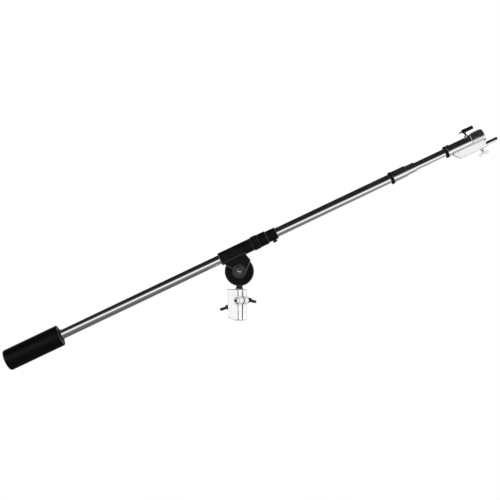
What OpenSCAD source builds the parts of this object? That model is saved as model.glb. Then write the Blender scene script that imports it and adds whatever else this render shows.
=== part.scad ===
// Overhead boom arm for a lighting stand, drawn in millimetres.
// The origin is the mouth of the stand socket, on the stem's axis. +Z is up the stem and
// +X points to the load end. The boom is drawn at rest, tilted up towards its load end.

/* [Receiver block] */
// Width of the block at its top
block_w = 44; // [42:1:56]
// Reach of the block's top from the stem's axis to its slit face
block_front = 19; // [18.5:0.5:21]
// Reach of the block's top from the stem's axis to the face with the stand lock
block_back = 44; // [34:1:50]
// Draft of the casting over its height, on the sides and the back
block_draft = 3; // [1:0.5:4]
// Height of the block
block_h = 114; // [108:1:130]
// Turn of the block about the stem, seen from above
block_turn = 50; // [0:1:60]
// Radius of the block's upright corners
block_corner_r = 3; // [1:0.5:6]
// Bore of the stand socket, for a 1 1/8 inch pin
socket_d = 28.6; // [25:0.1:29]
// Depth of the stand socket
socket_depth = 54; // [52:1:58]
// Width of the clamping slit
slit_w = 3; // [2:0.5:4]
// Rise of the turned underside for each millimetre away from the mouth
foot_rise = 0.36; // [0:0.02:0.4]

/* [Receiver locks] */
// Diameter of the pan clamp screw
clamp_screw_d = 10; // [8:1:11]
// Depth of the pan clamp screw below the top of the block
clamp_drop = 40; // [34:1:44]
// Diameter of the boss round the pan clamp screw
clamp_boss_d = 24; // [22:1:28]
// Thickness of the clamp nut
clamp_nut_t = 8; // [6:0.5:10]
// Diameter of the stand lock screw
stand_screw_d = 10; // [8:1:12]
// Height of the stand lock screw above the mouth of the socket
stand_lock_z = 46; // [36:1:48]
// Thickness of the pressure pad in front of the stand lock screw
pad_t = 3; // [2:0.5:4]
// Span of a wing handle, tip to tip
wing_span = 62; // [50:1:66]
// Thickness of a wing
wing_t = 7; // [4:0.5:8]
// Length of a wing handle's hub
wing_hub_l = 15; // [12:1:20]

/* [Stem and neck] */
// Diameter of the stem that turns in the block
stem_d = 22; // [18:0.5:22]
// Diameter of the foot of the neck
foot_d = 28.7; // [26:0.1:34]
// Thickness of the foot of the neck
foot_t = 10; // [8:0.5:14]
// Width of the neck where it meets the disc
neck_w = 22.4; // [18:0.2:24]
// Thickness of the sliding washer under the foot
foot_washer_t = 1; // [0.8:0.1:2]
// Thickness of the washer that keeps the stem in the block
keeper_t = 3; // [2:0.5:4]
// Diameter of the screw that holds the keeper washer
keeper_screw_d = 8; // [6:0.5:10]

/* [Tilt pivot] */
// Diameter of the two friction discs
disc_d = 108; // [100:1:112]
// Thickness of the upper disc
plate_t = 12; // [10:0.5:14]
// Thickness of the lower disc
base_t = 14; // [11:0.5:18]
// Thickness of the friction lining
lining_t = 2; // [1.5:0.1:3]
// Depth of the lining's seat
lining_seat = 1.4; // [1:0.1:1.4]
// Diameter of the pivot stud
stud_d = 12; // [10:0.5:14]
// Radius of the rounded hub in front of the disc
hub_r = 23; // [21:0.5:26]
// Width of the bevel round the hub's face
hub_bevel = 2.5; // [1:0.5:3]
// Reach of the web along the sleeve, in front of the pivot
web_front = 49; // [40:1:60]
// Reach of the web along the sleeve, behind the pivot
web_back = 38; // [30:1:41]
// Reach of the web's shoulder in front of the pivot
shoulder_x = 56; // [50:1:60]
// Height of the web's shoulder above the pivot
shoulder_z = 20; // [15:1:30]
// Depth of the recess for the nut
nut_recess = 5; // [3:0.5:7]
// Length of the tilt handle's bar
tilt_bar_l = 92; // [80:1:100]
// Diameter of the tilt handle's bar
tilt_bar_d = 9; // [8:0.5:11]

/* [Boom sleeve] */
// Height of the boom's axis above the tilt pivot
tube_rise = 70; // [68:0.5:76]
// Wall of the sleeve
sleeve_wall = 4; // [3:0.25:6]
// Wall of the plastic liners
liner_wall = 2.45; // [2:0.05:3]
// Reach of the sleeve behind the pivot
sleeve_back = 46; // [42:1:60]
// Reach of the sleeve in front of the pivot
sleeve_front = 86; // [80:1:100]
// Length of each liner
liner_l = 32; // [24:1:38]
// Length of the ribbed grip ring
ring_l = 24; // [18:1:30]
// Extra radius of the grip ring over the sleeve
ring_up = 2.5; // [1.5:0.25:4]
// Number of grooves round a grip ring
ring_grooves = 24; // [12:2:36]
// Length of the lock nut in front of the grip ring
nut_l = 35; // [28:1:45]
// Extra radius of the lock nut over the sleeve
nut_up = 1; // [0.5:0.25:1.5]
// Length of the nose
nose_l = 39; // [32:1:50]
// Wall of the nose
nose_wall = 4.2; // [3.5:0.1:5]
// Diameter of the thumb screw under the nose
thumb_d = 6; // [5:0.5:8]

/* [Boom tubes] */
// Outer diameter of the main tube
main_od = 35; // [32:0.5:38]
// Wall of the main tube
main_wall = 1.5; // [1.2:0.1:2.5]
// Reach of the main tube behind the pivot
main_back = 905; // [700:5:1100]
// Reach of the main tube in front of the pivot
main_front = 700; // [600:5:800]
// Radial gap between the two tubes
tube_gap = 1; // [0.7:0.1:1.6]
// Wall of the inner tube
inner_wall = 1.5; // [1.2:0.1:2.5]
// Length of the inner tube
inner_l = 1445; // [900:5:1500]
// Length of inner tube that shows between the lock and the end fitting
inner_show = 121; // [40:1:400]
// Length of each bush in and on the tubes
bush_l = 30; // [20:1:40]

/* [Telescope lock] */
// Length of the black grip ring
grip_l = 11; // [8:0.5:16]
// Outer diameter of the black grip ring, less that of the main tube
grip_up = 11; // [9:0.5:14]
// Length of the chrome lock sleeve
lock_l = 54; // [45:1:70]
// Wall of the chrome lock sleeve
lock_wall = 3.9; // [3.5:0.1:5]
// Length of the lock's tail
tail_l = 37; // [30:1:50]
// Wall of the lock's tail round the inner tube
tail_wall = 3.4; // [3:0.1:4.5]
// Length of main tube inside the lock sleeve
lock_overlap = 42; // [36:1:44]

/* [Counterweight] */
// Outer diameter of the counterweight
weight_d = 80; // [74:1:90]
// Length of the counterweight
weight_l = 220; // [180:1:260]
// Length of the counterweight that overhangs the end of the tube
weight_over = 10; // [6:1:20]
// Thickness of the coat on the counterweight
coat_t = 2; // [1.5:0.25:3]
// Radius of the coat's rear edge
coat_r = 9; // [6:0.5:12]
// Thickness of the end plates
end_plate_t = 5; // [4:0.5:8]
// Diameter of the black hub round the tube
weight_hub_d = 44; // [42:0.5:50]

/* [End fitting] */
// Length of the black end ring
end_ring_l = 23; // [18:1:30]
// Outer diameter of the end ring, less that of the inner tube
end_ring_up = 14; // [12:0.5:16]
// Length of the end sleeve in front of the ring
end_sleeve_l = 84; // [75:1:100]
// Length of inner tube held in the end sleeve
tube_grip = 45; // [35:1:55]
// Wall of the end sleeve
end_sleeve_wall = 4; // [3.5:0.1:5]
// Length of the end socket
end_socket_l = 50; // [44:1:60]
// Outer diameter of the end socket
end_socket_d = 45; // [42:0.5:50]
// Bore of the end socket, for a 1 1/8 inch spigot
end_bore_d = 28.6; // [25:0.1:30]
// Height of the pin block
pin_block_h = 26; // [24:0.5:32]
// Thickness of the pin block
pin_block_w = 22; // [20:0.5:28]
// Diameter of the baby pin
pin_d = 15.875; // [14:0.005:16.5]
// Length of the pin in front of its block
pin_out = 47; // [40:1:60]
// Length of the pin inside its block
pin_in = 40; // [30:1:50]
// Step of the pin's shoulder, in front of its thinner shank
pin_step = 1; // [0.5:0.1:1.5]
// Diameter of the end fitting's lock screws
end_screw_d = 8; // [6:0.5:9]

/* [Hidden] */
$fn = 64;

// Tilt of the boom at rest, in degrees
boom_tilt = 25.4;
// Radial gap of a running fit, and of a screw in its hole
run_fit = 0.05;
hole_fit = 0.3;
// Gap between faces that slide past each other
face_gap = 0.05;
// Gap left between parts that only stand next to each other
side_gap = 0.3;
// Overlap that joins solids of one piece
weld = 1;

disc_r = disc_d / 2;
sleeve_bore_r = main_od / 2 + run_fit + liner_wall;
sleeve_r = sleeve_bore_r + sleeve_wall;
ring_r = sleeve_r + ring_up;
nut_r = sleeve_r + nut_up;
nose_r = main_od / 2 + run_fit + nose_wall;
neck_gap = 1;
pivot_h = block_h + foot_washer_t + 2 * face_gap + foot_t + neck_gap + disc_r;

// The lower disc starts where it clears the sleeve above it
disc_clear = 1;
mate_drop = tube_rise - disc_r - disc_clear;
mate_y = sqrt(max(pow(sleeve_r, 2) - pow(mate_drop, 2), pow(plate_t + 4, 2)));
lining_y = mate_y + face_gap;
base_y = lining_y + lining_t - lining_seat;
base_back = base_y + base_t;
lining_r = disc_r - 4;
lining_bore = hub_r;

// Stack on the pivot stud, from front to back
hub_face_y = -sleeve_r + 3;
nut_seat_y = hub_face_y + nut_recess;
stud_washer_t = 2.5;
nut_t = 0.8 * stud_d;
stud_front_y = nut_seat_y - stud_washer_t - nut_t - 3;
back_washer_t = 3;
spring_t = 3;
handle_y = base_back + back_washer_t + spring_t + 3 * face_gap;
handle_hub_l = 2 * tilt_bar_d + 12;
handle_hub_d = 30;
tilt_bar_y = handle_y + handle_hub_l - tilt_bar_d / 2 - 4;
stud_back_y = tilt_bar_y - tilt_bar_d / 2 - 1;
recess_r = stud_d * 1.3;
web_face_y = hub_face_y + 3;
bar_knob_d = tilt_bar_d + 7;
bar_knob_l = 14;

// Places along the boom, from the foot of the pivot
ring_x = sleeve_front + side_gap;
nut_x = ring_x + ring_l;
nose_x = nut_x + nut_l + side_gap;
nose_end_x = nose_x + nose_l;
nose_plug_l = 12;
spigot_r = sleeve_bore_r + sleeve_wall / 2;
collet_l = nut_l - nose_plug_l - 1;
thumb_x = nose_end_x - 17;
thumb_knob_l = 8;
main_r = main_od / 2;
main_bore_r = main_r - main_wall;
inner_r = main_bore_r - tube_gap;
inner_bore_r = inner_r - inner_wall;
grip_x = main_front - lock_overlap - grip_l;
lock_x = grip_x + grip_l;
tail_x = lock_x + lock_l;
lock_end_x = tail_x + tail_l;
grip_r = (main_od + grip_up) / 2;
lock_r = main_r + run_fit + lock_wall;
tail_r = inner_r + run_fit + tail_wall;
end_x = lock_end_x + inner_show;
end_ring_r = inner_r + end_ring_up / 2;
end_sleeve_x = end_x + end_ring_l;
end_sleeve_r = inner_r + end_sleeve_wall;
end_socket_x = end_sleeve_x + end_sleeve_l;
end_front_x = end_socket_x + end_socket_l;
inner_front_x = end_sleeve_x + tube_grip;
inner_back_x = inner_front_x - inner_l;
end_screw_x = end_socket_x - end_screw_d - 1;

// The pin block under the end sleeve
pin_block_top = end_sleeve_r - 2;
pin_block_low = end_sleeve_r + pin_block_h;
pin_axis = pin_block_low - pin_d / 2 - 1.2;
pin_shank_r = pin_d / 2 - pin_step;
pin_block_x = end_sleeve_x + 2;
pin_block_end = end_front_x - 6;
pin_screw_x = pin_block_end - 21;
pin_boss_l = 8;
rivet_r = 2.5;
pin_wing_z = -pin_block_low - pin_boss_l - 2;

// The counterweight at the rear end of the main tube
weight_end_x = -main_back - weight_over;
weight_front_x = weight_end_x + weight_l;
weight_r = weight_d / 2;
core_r = weight_r - coat_t - side_gap / 3;
core_bore_r = main_r + run_fit;
weight_hub_l = 6;

// Screws of the receiver block, with its flats turned about the stem
keeper_room = 8;
keeper_reach = 20;
keeper_room_r = socket_d / 2 - 1;
stem_z = socket_depth + keeper_room;
mouth_r = socket_d / 2 + 2.7;
clamp_z = block_h - clamp_drop;
clamp_x = stem_d / 2 + clamp_screw_d / 2 + 2;
boss_out = 2;
boss_end_y = block_w / 2 + boss_out;
clamp_nut_y = -boss_end_y - clamp_nut_t;
clamp_tip_y = clamp_nut_y - 3;
clamp_seat_y = block_w / 2;
clamp_wing_y = clamp_seat_y + 3;
pad_back = 0.25;
pad_x = socket_d / 2 + pad_back;
stand_wing_x = block_back + 16;
wing_hub_d = 16;
wing_reach = wing_span / 2;

// Names of the pieces, each of which is one solid or one group of like solids

// Frame at the tilt pivot, turned with the boom
module at_pivot() {
    translate([0, 0, pivot_h])
        rotate([0, -boom_tilt, 0])
            children();
}

// Frame on the boom's axis, with X along it and 0 above the pivot
module on_boom() {
    at_pivot()
        translate([0, 0, tube_rise])
            children();
}

// Frame of the block's flats
module on_block() {
    rotate([0, 0, -block_turn])
        children();
}

// Round bar along X from x0 to x1
module bar_x(r, x0, x1) {
    translate([x0, 0, 0])
        rotate([0, 90, 0])
            cylinder(r = r, h = x1 - x0);
}

// Round bar along Y from y0 to y1
module bar_y(r, y0, y1) {
    translate([0, y1, 0])
        rotate([90, 0, 0])
            cylinder(r = r, h = y1 - y0);
}

// Round bar along Z from z0 to z1
module bar_z(r, z0, z1) {
    translate([0, 0, z0])
        cylinder(r = r, h = z1 - z0);
}

// Tube along X
module tube_x(outer, inner, x0, x1) {
    difference() {
        bar_x(outer, x0, x1);
        bar_x(inner, x0 - weld, x1 + weld);
    }
}

// Tube along Y
module tube_y(outer, inner, y0, y1) {
    difference() {
        bar_y(outer, y0, y1);
        bar_y(inner, y0 - weld, y1 + weld);
    }
}

// Turned piece along X, from a list of [x, radius] points of its outside
module turned_x(points, bore) {
    rotate([0, 90, 0])
        rotate_extrude()
            polygon(concat(
                [for (p = points) [p[1], p[0]]],
                [[bore, points[len(points) - 1][0]], [bore, points[0][0]]]));
}

// Hexagonal prism along Y, with its width across the flats
module hex_y(flats, y0, y1) {
    translate([0, y1, 0])
        rotate([90, 30, 0])
            cylinder(d = flats / cos(30), h = y1 - y0, $fn = 6);
}

// Wing handle in the XZ plane with its hub along Z, bored for its screw
module wing_handle(bore_d, reach_a, reach_b, lean) {
    difference() {
        union() {
            cylinder(d1 = wing_hub_d + 3, d2 = wing_hub_d, h = wing_hub_l);
            wing_arm(reach_a, lean);
            mirror([1, 0, 0])
                wing_arm(reach_b, lean);
        }
        bar_z(bore_d / 2 + run_fit, -weld, wing_hub_l - 4);
    }
}

// One paddle of a wing handle
module wing_arm(reach, lean) {
    paddle_r = reach * 0.3;
    translate([0, wing_t / 2, wing_hub_l / 2])
        rotate([90, -lean, 0])
            linear_extrude(wing_t) {
                translate([reach - paddle_r, 0])
                    circle(paddle_r);
                polygon([[0, -wing_hub_l / 3], [reach - paddle_r, -paddle_r],
                         [reach - paddle_r, paddle_r], [0, wing_hub_l / 3]]);
            }
}

// Receiver: a drafted block with the stand socket below and the stem's bore above
module receiver_block() {
    color("silver")
        on_block()
            difference() {
                union() {
                    block_body();
                    clamp_boss();
                }
                turned_underside();
                bar_z(socket_d / 2, -weld, socket_depth);
                bar_z(keeper_room_r, socket_depth - weld, stem_z);
                bar_z(stem_d / 2 + run_fit, stem_z - weld, block_h + weld);
                translate([0, -slit_w / 2, -weld])
                    cube([block_back, slit_w, block_h + 2 * weld]);
                translate([clamp_x, 0, clamp_z])
                    bar_y(clamp_screw_d / 2 + hole_fit, -block_w, block_w);
                translate([0, 0, stand_lock_z])
                    bar_x(stand_screw_d / 2 + run_fit, -block_back - weld, 0);
            }
}

// Block with rounded upright corners and a casting's draft, deeper behind the stem
module block_body() {
    hull() {
        block_corners(block_draft, 0);
        block_corners(0, block_h - weld);
    }
}

// Four corner discs of the block at one height, drawn in by the draft
module block_corners(draft, z) {
    x_front = block_front - draft / 3 - block_corner_r;
    x_back = draft - block_back + block_corner_r;
    y_side = block_w / 2 - draft * 2 / 3 - block_corner_r;
    for (x = [x_back, x_front], y = [-y_side, y_side])
        translate([x, y, z])
            cylinder(r = block_corner_r, h = weld, $fn = 24);
}

// What the lathe takes off the underside, so that it rises away from the mouth
module turned_underside() {
    reach = block_back + block_w;
    rotate_extrude()
        polygon([[mouth_r, -weld], [reach, -weld], [reach, foot_rise * (reach - mouth_r)],
                 [mouth_r, 0]]);
}

// Boss round the clamp screw, standing out of the face with the slit and of the nut's side
module clamp_boss() {
    translate([clamp_x, 0, clamp_z])
        bar_y(clamp_boss_d / 2, -boss_end_y, clamp_seat_y);
}

module clamp_nut() {
    color("silver")
        on_block()
            translate([clamp_x, 0, clamp_z])
                difference() {
                    hex_y(clamp_boss_d - 1, clamp_nut_y, clamp_nut_y + clamp_nut_t - face_gap);
                    bar_y(clamp_screw_d / 2 + run_fit, -block_w, 0);
                }
}

module clamp_screw() {
    color("dimgray")
        on_block()
            translate([clamp_x, 0, clamp_z])
                bar_y(clamp_screw_d / 2, clamp_tip_y, clamp_wing_y + wing_hub_l - 5);
}

// Flanged washer between the block and the clamp's wing handle
module clamp_wing_washer() {
    color("dimgray")
        on_block()
            translate([clamp_x, 0, clamp_z])
                tube_y(clamp_boss_d / 2 - 0.5, clamp_screw_d / 2 + run_fit,
                       clamp_seat_y + face_gap, clamp_wing_y - face_gap);
}

module clamp_wing() {
    color("dimgray")
        on_block()
            translate([clamp_x, clamp_wing_y, clamp_z])
                rotate([-90, 0, 0])
                    rotate([0, 0, 12])
                        wing_handle(clamp_screw_d, wing_reach, wing_reach, 14);
}

module stand_lock_screw() {
    color("dimgray")
        on_block()
            translate([0, 0, stand_lock_z])
                bar_x(stand_screw_d / 2, -stand_wing_x - wing_hub_l + 5, -pad_x - pad_t - face_gap);
}

module stand_lock_wing() {
    color("dimgray")
        on_block()
            translate([-stand_wing_x, 0, stand_lock_z])
                rotate([0, -90, 0])
                    rotate([0, 0, 70])
                        wing_handle(stand_screw_d, wing_reach, wing_reach, 24);
}

// Soft pad that keeps the stand lock screw off the stand's pin
module stand_lock_pad() {
    color("tan")
        on_block()
            translate([0, 0, stand_lock_z])
                bar_x(stand_screw_d / 2 - run_fit, -pad_x - pad_t, -pad_x);
}

// Lower disc, with the neck that brings its load forward onto the stem
module pivot_base() {
    color("#1c1c1e")
        difference() {
            union() {
                translate([0, 0, pivot_h])
                    disc_blank(disc_r, base_y, base_back);
                neck();
                bar_z(stem_d / 2, stem_z, block_h + weld);
            }
            translate([0, 0, pivot_h]) {
                bar_y(lining_r + side_gap, base_y - weld, base_y + lining_seat);
                bar_y(stud_d / 2 + run_fit, 0, base_back + weld);
            }
            bar_z(keeper_screw_d / 2, 0, stem_z + keeper_reach + 4);
        }
}

// Disc with both rims bevelled
module disc_blank(r, y0, y1) {
    bevel = 1.5;
    translate([0, y0, 0])
        rotate([-90, 0, 0])
            rotate_extrude($fn = 128)
                polygon([[0, 0], [r - bevel, 0], [r, bevel],
                         [r, y1 - y0 - bevel], [r - bevel, y1 - y0], [0, y1 - y0]]);
}

// Flared foot on the stem, and the arm that joins it to the lower disc
module neck() {
    foot_z = block_h + foot_washer_t + 2 * face_gap;
    neck_top = foot_z + foot_t;
    difference() {
        union() {
            translate([0, 0, foot_z])
                cylinder(d1 = foot_d, d2 = neck_w, h = foot_t);
            translate([-neck_w / 2, 0, foot_z])
                cube([neck_w, base_back, foot_t]);
            translate([-neck_w / 2, base_y, foot_z])
                cube([neck_w, base_t, disc_r / 2]);
            bar_z(stem_d / 2, block_h - weld, foot_z + weld);
        }
        translate([0, 0, pivot_h])
            bar_y(disc_r + neck_gap, -foot_d, lining_y);
    }
}

module foot_washer() {
    color("ivory")
        translate([0, 0, block_h + face_gap])
            difference() {
                cylinder(d = foot_d - 1, h = foot_washer_t);
                bar_z(stem_d / 2 + run_fit, -weld, foot_washer_t + weld);
            }
}

// Washer and screw that keep the stem from lifting out of the block
module keeper_washer() {
    color("silver")
        difference() {
            bar_z(keeper_room_r - 0.5, stem_z - keeper_t - face_gap, stem_z - face_gap);
            bar_z(keeper_screw_d / 2, 0, stem_z + weld);
        }
}

module keeper_screw() {
    head_t = 4;
    head_z = stem_z - keeper_t - face_gap - head_t;
    color("dimgray")
        difference() {
            union() {
                bar_z(keeper_screw_d * 0.8, head_z, head_z + head_t);
                bar_z(keeper_screw_d / 2 - run_fit, head_z, stem_z + keeper_reach);
            }
            translate([0, 0, head_z - weld])
                cylinder(d = keeper_screw_d * 0.7, h = head_t - 1 + weld, $fn = 6);
        }
}

module friction_lining() {
    color("saddlebrown")
        translate([0, 0, pivot_h])
            tube_y(lining_r, lining_bore, lining_y, lining_y + lining_t);
}

// Upper casting: the sleeve, the web under it, the hub and the upper disc
module boom_sleeve() {
    color("#202023")
        at_pivot()
            difference() {
                union() {
                    translate([0, 0, tube_rise])
                        sleeve_barrel();
                    disc_blank(disc_r, mate_y - plate_t, mate_y);
                    pivot_web();
                    pivot_hub();
                }
                translate([0, 0, tube_rise])
                    bar_x(sleeve_bore_r, -sleeve_back - weld, nose_x + weld);
                bar_y(recess_r, -sleeve_r, nut_seat_y);
                bar_y(stud_d / 2 + run_fit, -sleeve_r, mate_y + weld);
            }
}

// Barrel of the sleeve, with a thinner threaded spigot in front
module sleeve_barrel() {
    edge = 1.5;
    turned_x([[-sleeve_back, sleeve_r - edge], [-sleeve_back + edge, sleeve_r],
              [sleeve_front - edge, sleeve_r], [sleeve_front, sleeve_r - edge],
              [sleeve_front, spigot_r], [nose_x - side_gap, spigot_r]], 0);
}

// Web that spreads from the hub to the underside of the sleeve
module pivot_web() {
    translate([0, mate_y - plate_t + weld, 0])
        rotate([90, 0, 0])
            linear_extrude(mate_y - plate_t + weld - web_face_y)
                web_outline();
}

module web_outline() {
    polygon([[-web_back, tube_rise], [-web_back, tube_rise - sleeve_r],
             [-hub_r * 0.72, hub_r * 0.8], [-hub_r * 0.5, 0], [hub_r * 0.6, -hub_r * 0.75],
             [shoulder_x, shoulder_z], [web_front, tube_rise - sleeve_r], [web_front, tube_rise]]);
    circle(hub_r);
}

// Round hub in front of the web, bevelled round its face
module pivot_hub() {
    translate([0, hub_face_y, 0])
        rotate([-90, 0, 0])
            cylinder(r1 = hub_r - hub_bevel, r2 = hub_r, h = hub_bevel);
    bar_y(hub_r, hub_face_y + hub_bevel, mate_y - plate_t + weld);
}

module pivot_stud() {
    color("silver")
        at_pivot()
            bar_y(stud_d / 2, stud_front_y, stud_back_y);
}

module stud_washer() {
    color("#151515")
        at_pivot()
            tube_y(recess_r - 1, stud_d / 2 + run_fit, nut_seat_y - stud_washer_t, nut_seat_y);
}

module stud_nut() {
    nut_back_y = nut_seat_y - stud_washer_t;
    color("#151515")
        at_pivot()
            difference() {
                hex_y(stud_d * 1.6, nut_back_y - nut_t, nut_back_y);
                bar_y(stud_d / 2 + run_fit, nut_back_y - nut_t - weld, nut_back_y + weld);
            }
}

module back_washer() {
    color("silver")
        at_pivot()
            tube_y(handle_hub_d / 2 + 3, stud_d / 2 + run_fit,
                   base_back + face_gap, base_back + face_gap + back_washer_t);
}

// Cupped spring washer under the tilt handle
module disc_spring() {
    cup = spring_t / 2;
    spring_y = base_back + back_washer_t + 2 * face_gap;
    color("dimgray")
        at_pivot()
            translate([0, spring_y, 0])
                rotate([-90, 0, 0])
                    rotate_extrude()
                        polygon([[stud_d / 2 + run_fit, cup], [handle_hub_d / 2, 0],
                                 [handle_hub_d / 2, cup], [stud_d / 2 + run_fit, spring_t]]);
}

module tilt_handle_hub() {
    color("#1c1c1e")
        at_pivot()
            difference() {
                bar_y(handle_hub_d / 2, handle_y, handle_y + handle_hub_l);
                bar_y(stud_d / 2 + run_fit, handle_y - weld, stud_back_y + 0.5);
                translate([0, tilt_bar_y, 0])
                    bar_x(tilt_bar_d / 2 + run_fit, -handle_hub_d, handle_hub_d);
            }
}

module tilt_handle_bar() {
    color("silver")
        at_pivot()
            translate([0, tilt_bar_y, 0])
                bar_x(tilt_bar_d / 2, -tilt_bar_l / 2, tilt_bar_l / 2);
}

// Caps on the two ends of the tilt handle's bar
module tilt_bar_knobs() {
    cap = 2;
    start = tilt_bar_l / 2 + cap - bar_knob_l;
    color("#1c1c1e")
        at_pivot()
            translate([0, tilt_bar_y, 0])
                for (side = [0, 1])
                    mirror([side, 0, 0])
                        difference() {
                            turned_x([[start, bar_knob_d / 2 - 1.5], [start + 1.5, bar_knob_d / 2],
                                      [start + bar_knob_l - 3, bar_knob_d / 2],
                                      [start + bar_knob_l, bar_knob_d / 2 - 3]], 0);
                            bar_x(tilt_bar_d / 2 + run_fit, start - weld, tilt_bar_l / 2 + run_fit);
                        }
}

// Two plastic bushes that carry the main tube in the sleeve
module sleeve_liners() {
    color("ivory")
        on_boom()
            for (x = [-sleeve_back + 2, sleeve_front - liner_l])
                tube_x(sleeve_bore_r - run_fit, main_r + run_fit, x, x + liner_l);
}

// Ring cut round its outside by shallow grooves along X
module ribbed_ring(outer, bore, x0, x1, groove_r) {
    edge = 1;
    difference() {
        turned_x([[x0, outer - edge], [x0 + edge, outer], [x1 - edge, outer], [x1, outer - edge]], bore);
        for (i = [0:ring_grooves - 1])
            rotate([i * 360 / ring_grooves, 0, 0])
                translate([0, 0, outer + groove_r * 0.45])
                    bar_x(groove_r, x0 + 3, x1 - 3);
    }
}

module grip_ring() {
    color("#19191b")
        on_boom()
            ribbed_ring(ring_r, spigot_r + run_fit, ring_x, nut_x, 2);
}

module lock_nut() {
    edge = 2;
    color("#222225")
        on_boom()
            turned_x([[nut_x, nut_r], [nut_x + nut_l - edge, nut_r], [nut_x + nut_l, nut_r - edge]],
                     spigot_r + run_fit);
}

// Split ring that the lock nut closes on the main tube
module sleeve_collet() {
    color("ivory")
        on_boom()
            split_ring(sleeve_bore_r - run_fit, main_r + run_fit, nut_x, nut_x + collet_l);
}

module split_ring(outer, inner, x0, x1) {
    difference() {
        tube_x(outer, inner, x0, x1);
        translate([x0 - weld, -1, 0])
            cube([x1 - x0 + 2 * weld, 2, outer + weld]);
    }
}

module nose() {
    edge = 2;
    color("#1d1d1f")
        on_boom()
            difference() {
                turned_x([[nose_x - nose_plug_l, sleeve_bore_r - run_fit],
                          [nose_x, sleeve_bore_r - run_fit], [nose_x, nose_r],
                          [nose_end_x - edge, nose_r], [nose_end_x, nose_r - edge]],
                         main_r + run_fit);
                translate([thumb_x, 0, 0])
                    bar_z(thumb_d / 2 + run_fit, -nose_r - weld, 0);
            }
}

module thumb_screw() {
    color("silver")
        on_boom()
            translate([thumb_x, 0, 0])
                bar_z(thumb_d / 2, -nose_r - thumb_knob_l + 2, -main_r - side_gap);
}

module thumb_knob() {
    knob_r = thumb_d + 2;
    color("#151515")
        on_boom()
            translate([thumb_x, 0, -nose_r - side_gap])
                difference() {
                    translate([0, 0, -thumb_knob_l])
                        cylinder(r = knob_r, h = thumb_knob_l);
                    bar_z(thumb_d / 2 + run_fit, 2.2 - thumb_knob_l, weld);
                    for (i = [0:9])
                        rotate([0, 0, i * 36])
                            translate([knob_r + 0.8, 0, 0])
                                bar_z(1.6, -thumb_knob_l + 1.5, weld);
                }
}

module main_tube() {
    color("gainsboro")
        on_boom()
            tube_x(main_r, main_bore_r, -main_back, main_front);
}

// Plug in the rear end of the main tube
module main_tube_plug() {
    flange_t = 2;
    color("#151515")
        on_boom()
            turned_x([[-main_back - flange_t, main_r - 0.5], [-main_back, main_r - 0.5],
                      [-main_back, main_bore_r - run_fit], [-main_back + 18, main_bore_r - run_fit]], 0);
}

// Bush in the mouth of the main tube that guides the inner tube
module tube_stop_bush() {
    color("ivory")
        on_boom()
            tube_x(main_bore_r - run_fit / 2, inner_r + run_fit, main_front - bush_l, main_front);
}

// Black grip ring at the rear of the telescope lock
module telescope_grip() {
    color("#151515")
        on_boom()
            ribbed_ring(grip_r, main_r + run_fit, grip_x, lock_x, 1.2);
}

// Chrome sleeve of the telescope lock, stepped inside where the main tube ends
module lock_sleeve() {
    edge = 1;
    color("gainsboro")
        on_boom()
            turned_x([[lock_x, lock_r], [tail_x - edge, lock_r], [tail_x, lock_r - edge]],
                     main_r + run_fit);
}

module lock_tail() {
    edge = 0.8;
    color("gainsboro")
        on_boom()
            turned_x([[tail_x, tail_r], [lock_end_x - edge, tail_r], [lock_end_x, tail_r - edge]],
                     inner_r + run_fit);
}

// Split ring that the lock sleeve closes on the inner tube
module lock_collet() {
    color("ivory")
        on_boom()
            split_ring(main_r, inner_r + run_fit, main_front + face_gap, tail_x - face_gap);
}

module inner_tube() {
    color("gainsboro")
        on_boom()
            tube_x(inner_r, inner_bore_r, inner_back_x, inner_front_x);
}

// Bush on the rear end of the inner tube
module inner_guide_bush() {
    color("ivory")
        on_boom()
            tube_x(main_bore_r - run_fit, inner_r + run_fit / 2, inner_back_x, inner_back_x + bush_l);
}

// Steel slug of the counterweight
module weight_core() {
    color("dimgray")
        on_boom()
            tube_x(core_r, core_bore_r, weight_end_x + end_plate_t, weight_front_x - end_plate_t);
}

// Black coat round the slug, with rounded edges
module weight_coat() {
    color("#161616")
        on_boom()
            difference() {
                rotate([0, 90, 0])
                    rotate_extrude($fn = 96)
                        weight_section();
                bar_x(weight_r - coat_t, weight_end_x + end_plate_t - weld, weight_front_x + weld);
                bar_x(weight_r - coat_r, weight_end_x - weld, weight_front_x);
            }
}

// Half section of the coat, with X as the radius
module weight_section() {
    front_r = 3;
    difference() {
        translate([0, weight_end_x])
            square([weight_r, weight_l]);
        translate([weight_r - coat_r, weight_end_x])
            rounding_corner(coat_r);
        translate([weight_r - front_r, weight_front_x])
            mirror([0, 1])
                rounding_corner(front_r);
    }
}

// What is cut away to round a corner to a radius
module rounding_corner(r) {
    difference() {
        translate([0, -weld])
            square([r + weld, r + weld]);
        translate([0, r])
            circle(r);
    }
}

// Round plates that close the two ends of the counterweight
module weight_end_plates() {
    color("silver")
        on_boom() {
            tube_x(weight_r - coat_r - side_gap, core_bore_r, weight_end_x, weight_end_x + end_plate_t - face_gap);
            tube_x(weight_r - coat_t - side_gap, core_bore_r,
                   weight_front_x - end_plate_t + face_gap, weight_front_x - face_gap);
        }
}

// Black hub that clamps the counterweight to the main tube
module weight_hub() {
    color("#151515")
        on_boom()
            difference() {
                tube_x(weight_hub_d / 2, core_bore_r, weight_front_x, weight_front_x + weight_hub_l);
                set_screw_bores();
            }
}

module set_screw_bores() {
    for (turn = [90, 210, 330])
        rotate([turn, 0, 0])
            translate([weight_front_x + weight_hub_l / 2, 0, 0])
                bar_z(2, 0, weight_hub_d);
}

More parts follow.
